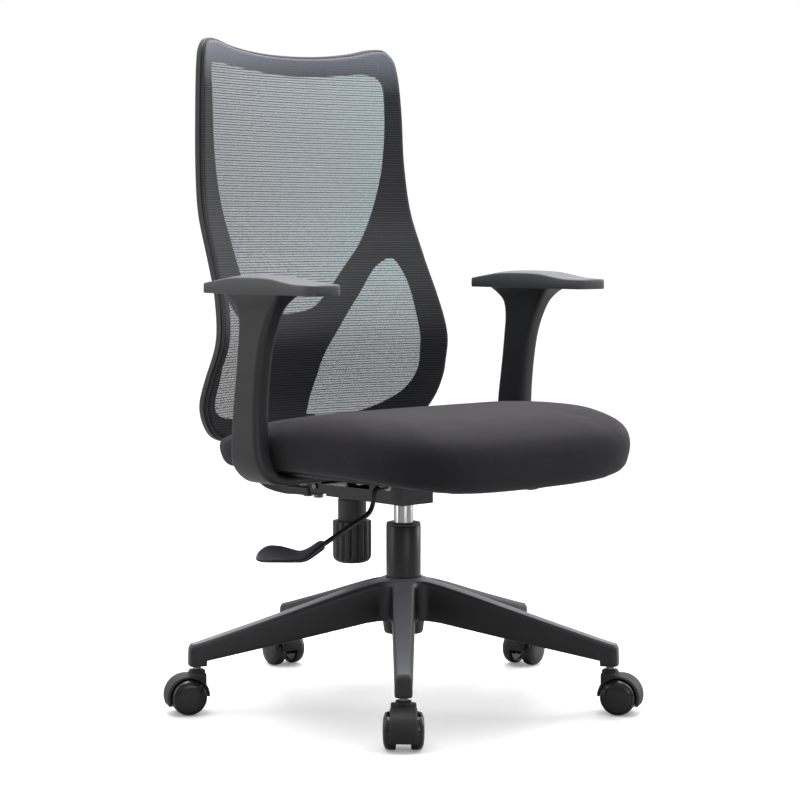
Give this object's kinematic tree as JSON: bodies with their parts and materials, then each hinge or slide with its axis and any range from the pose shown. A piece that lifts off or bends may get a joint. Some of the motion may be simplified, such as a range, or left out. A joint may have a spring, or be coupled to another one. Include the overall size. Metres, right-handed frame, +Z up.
{
  "type": "swivel office chair",
  "caption": "Mesh-back swivel office chair with a five-star castor base, gas lift, reclining back, tension knob, lift lever, upholstered seat and fixed T-shaped arms.",
  "frame": {"origin": "bottom centre of the chair's box, on the floor", "axes": "+Z up; the sitter faces -Y, so the back is at +Y and the lever is on the sitter's right at -X"},
  "size_m": [0.6686, 0.6594, 0.9507],
  "materials": {
    "nylon": "fine moulded grain, satin",
    "soft_nylon": "moulded, satin",
    "tube_paint": "smooth black powder coat, half gloss",
    "chrome": "polished",
    "steel": "zinc plated",
    "black_steel": "black powder coat",
    "acetal": "moulded, smooth",
    "buffer_rubber": "matt",
    "wheel_nylon": "moulded, half gloss, bright rim line",
    "seat_fabric": "plain fine weave over foam",
    "mesh_fabric": "jacquard mesh, solid ribbed bands and open windows",
    "plywood": "moulded plywood",
    "pad_plastic": "soft touch, satin"
  },
  "bodies": {
    "base": {"star_base": "nylon", "gas_outer_tube": "tube_paint", "guide_bush": "soft_nylon", "thrust_bearing": "steel"},
    "swivel_rod": {"piston_rod": "steel", "retaining_clip": "steel", "rubber_buffer": "buffer_rubber"},
    "seat_unit": {"gas_cylinder": "chrome", "mech_housing": "black_steel", "seat_plate": "black_steel", "recline_axle": "steel", "spring_sleeve": "soft_nylon", "tension_spring": "steel", "seat_pan": "plywood", "seat_cushion": "seat_fabric", "arm_right": "nylon", "arm_left": "nylon", "arm_pad_right": "pad_plastic", "arm_pad_left": "pad_plastic", "arm_bolt_right": "steel", "arm_bolt_left": "steel"},
    "back_unit": {"recline_bar": "black_steel", "back_support": "nylon", "bar_bolt_front": "steel", "bar_bolt_rear": "steel", "back_frame": "nylon", "mesh_panel": "mesh_fabric", "back_screw_right": "steel", "back_screw_left": "steel"},
    "tension_bolt_body": {"tension_bolt": "steel"},
    "knob": {"tension_knob": "soft_nylon"},
    "lever_carrier": {"lever_bush": "acetal"},
    "lever": {"lever_rod": "black_steel", "lever_paddle": "nylon"},
    "valve_pin": {"release_pin": "steel"},
    "castor_1": {"castor_hood_1": "nylon", "castor_stem_1": "steel", "castor_axle_1": "steel"},
    "wheel_1a": {"castor_wheel_1a": "wheel_nylon"},
    "wheel_1b": {"castor_wheel_1b": "wheel_nylon"},
    "castor_2": {"castor_hood_2": "nylon", "castor_stem_2": "steel", "castor_axle_2": "steel"},
    "wheel_2a": {"castor_wheel_2a": "wheel_nylon"},
    "wheel_2b": {"castor_wheel_2b": "wheel_nylon"},
    "castor_3": {"castor_hood_3": "nylon", "castor_stem_3": "steel", "castor_axle_3": "steel"},
    "wheel_3a": {"castor_wheel_3a": "wheel_nylon"},
    "wheel_3b": {"castor_wheel_3b": "wheel_nylon"},
    "castor_4": {"castor_hood_4": "nylon", "castor_stem_4": "steel", "castor_axle_4": "steel"},
    "wheel_4a": {"castor_wheel_4a": "wheel_nylon"},
    "wheel_4b": {"castor_wheel_4b": "wheel_nylon"},
    "castor_5": {"castor_hood_5": "nylon", "castor_stem_5": "steel", "castor_axle_5": "steel"},
    "wheel_5a": {"castor_wheel_5a": "wheel_nylon"},
    "wheel_5b": {"castor_wheel_5b": "wheel_nylon"}
  },
  "joints": [
    {"name": "seat_swivel", "type": "hinge", "parent": "base", "child": "swivel_rod", "pos_m": [-0.01023, -0.01802, 0.1], "axis": [0, 0, 1], "continuous": true},
    {"name": "seat_lift", "type": "slide", "parent": "swivel_rod", "child": "seat_unit", "axis": [0, 0, 1], "range_m": [0, 0.085]},
    {"name": "back_recline", "type": "hinge", "parent": "seat_unit", "child": "back_unit", "pos_m": [-0.01023, 0.14198, 0.2965], "axis": [-1, 0, 0], "range_deg": [0, 15], "stiffness_Nm_per_rad": 90, "springref_deg": -17.19},
    {"name": "tension_bolt_rise", "type": "slide", "parent": "seat_unit", "child": "tension_bolt_body", "axis": [0, 0, 1], "range_m": [0, 0.0136], "deforming": ["tension_spring"]},
    {"name": "knob_turn", "type": "hinge", "parent": "tension_bolt_body", "child": "knob", "pos_m": [-0.01023, 0.09398, 0.216], "axis": [0, 0, 1], "continuous": true},
    {"name": "lever_lift", "type": "hinge", "parent": "seat_unit", "child": "lever_carrier", "pos_m": [-0.03873, -0.01802, 0.31], "axis": [0, 1, 0], "range_deg": [0, 8], "stiffness_Nm_per_rad": 0.9, "springref_deg": -28.65},
    {"name": "tilt_lock_pull", "type": "slide", "parent": "lever_carrier", "child": "lever", "axis": [-1, 0, 0], "range_m": [0, 0.012]},
    {"name": "valve_press", "type": "slide", "parent": "seat_unit", "child": "valve_pin", "axis": [0, 0, -1], "range_m": [0, 0.0042]},
    {"name": "castor_swivel_1", "type": "hinge", "parent": "base", "child": "castor_1", "pos_m": [-0.21561, -0.24216, 0.06], "axis": [0, 0, 1], "continuous": true},
    {"name": "wheel_roll_1a", "type": "hinge", "parent": "castor_1", "child": "wheel_1a", "pos_m": [-0.21211, -0.26571, 0.025], "axis": [0.7373, -0.6756, 0], "continuous": true},
    {"name": "wheel_roll_1b", "type": "hinge", "parent": "castor_1", "child": "wheel_1b", "pos_m": [-0.23939, -0.24072, 0.025], "axis": [0.7373, -0.6756, 0], "continuous": true},
    {"name": "castor_swivel_2", "type": "hinge", "parent": "base", "child": "castor_2", "pos_m": [0.13946, -0.28261, 0.06], "axis": [0, 0, 1], "continuous": true},
    {"name": "wheel_roll_2a", "type": "hinge", "parent": "castor_2", "child": "wheel_2a", "pos_m": [0.16295, -0.28656, 0.025], "axis": [0.8704, 0.4924, 0], "continuous": true},
    {"name": "wheel_roll_2b", "type": "hinge", "parent": "castor_2", "child": "wheel_2b", "pos_m": [0.13075, -0.30478, 0.025], "axis": [0.8704, 0.4924, 0], "continuous": true},
    {"name": "castor_swivel_3", "type": "hinge", "parent": "base", "child": "castor_3", "pos_m": [0.28766, 0.04258, 0.06], "axis": [0, 0, 1], "continuous": true},
    {"name": "wheel_roll_3a", "type": "hinge", "parent": "castor_3", "child": "wheel_3a", "pos_m": [0.29867, 0.0637, 0.025], "axis": [-0.1994, 0.9799, 0], "continuous": true},
    {"name": "wheel_roll_3b", "type": "hinge", "parent": "castor_3", "child": "wheel_3b", "pos_m": [0.30605, 0.02745, 0.025], "axis": [-0.1994, 0.9799, 0], "continuous": true},
    {"name": "castor_swivel_4", "type": "hinge", "parent": "base", "child": "castor_4", "pos_m": [0.02418, 0.28402, 0.06], "axis": [0, 0, 1], "continuous": true},
    {"name": "wheel_roll_4a", "type": "hinge", "parent": "castor_4", "child": "wheel_4a", "pos_m": [0.0075, 0.30102, 0.025], "axis": [-0.9936, 0.1132, 0], "continuous": true},
    {"name": "wheel_roll_4b", "type": "hinge", "parent": "castor_4", "child": "wheel_4b", "pos_m": [0.04426, 0.29683, 0.025], "axis": [-0.9936, 0.1132, 0], "continuous": true},
    {"name": "castor_swivel_5", "type": "hinge", "parent": "base", "child": "castor_5", "pos_m": [-0.28686, 0.10804, 0.06], "axis": [0, 0, 1], "continuous": true},
    {"name": "wheel_roll_5a", "type": "hinge", "parent": "castor_5", "child": "wheel_5a", "pos_m": [-0.30818, 0.09743, 0.025], "axis": [-0.4147, -0.91, 0], "continuous": true},
    {"name": "wheel_roll_5b", "type": "hinge", "parent": "castor_5", "child": "wheel_5b", "pos_m": [-0.29284, 0.1311, 0.025], "axis": [-0.4147, -0.91, 0], "continuous": true}
  ],
  "couplings": [
    {"joint": "tension_bolt_rise", "follows": "back_recline", "m_per_rad": 0.0512},
    {"joint": "valve_press", "follows": "lever_lift", "m_per_rad": 0.0287}
  ]
}
